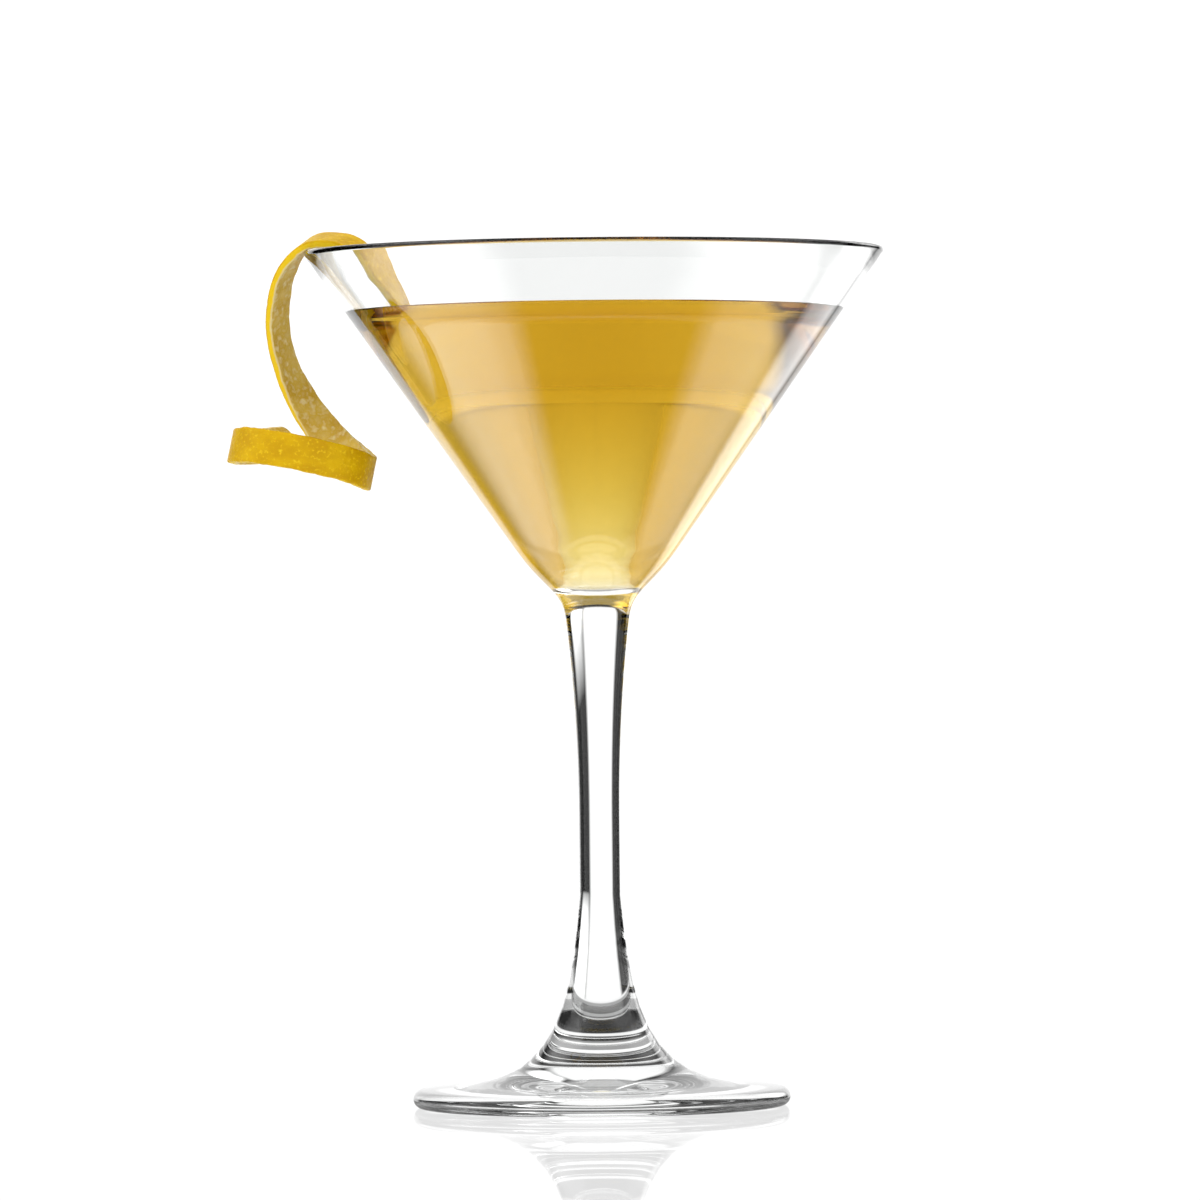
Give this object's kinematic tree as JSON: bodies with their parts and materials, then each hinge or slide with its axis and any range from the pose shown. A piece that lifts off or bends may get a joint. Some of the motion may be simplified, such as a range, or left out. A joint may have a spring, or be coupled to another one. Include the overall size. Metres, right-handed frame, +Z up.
{
  "type": "martini cocktail",
  "caption": "Amber cocktail in a stemmed cone glass, with a curled lemon peel twist hooked over the rim and dipping into the drink.",
  "frame": {"origin": "centre of the foot, on the surface that the glass stands on", "axes": "+Z up along the stem; the lemon twist hangs over the rim on the -X side"},
  "size_m": [0.1305, 0.1148, 0.1741],
  "materials": {
    "clear_glass": "clear, polished, colourless",
    "amber_drink": "clear amber-gold liquid, still surface",
    "lemon_peel": "waxy pored yellow rind with pale pith on the inner side"
  },
  "bodies": {
    "root": {"glass": "clear_glass", "drink": "amber_drink", "lemon_twist": "lemon_peel"}
  },
  "joints": []
}
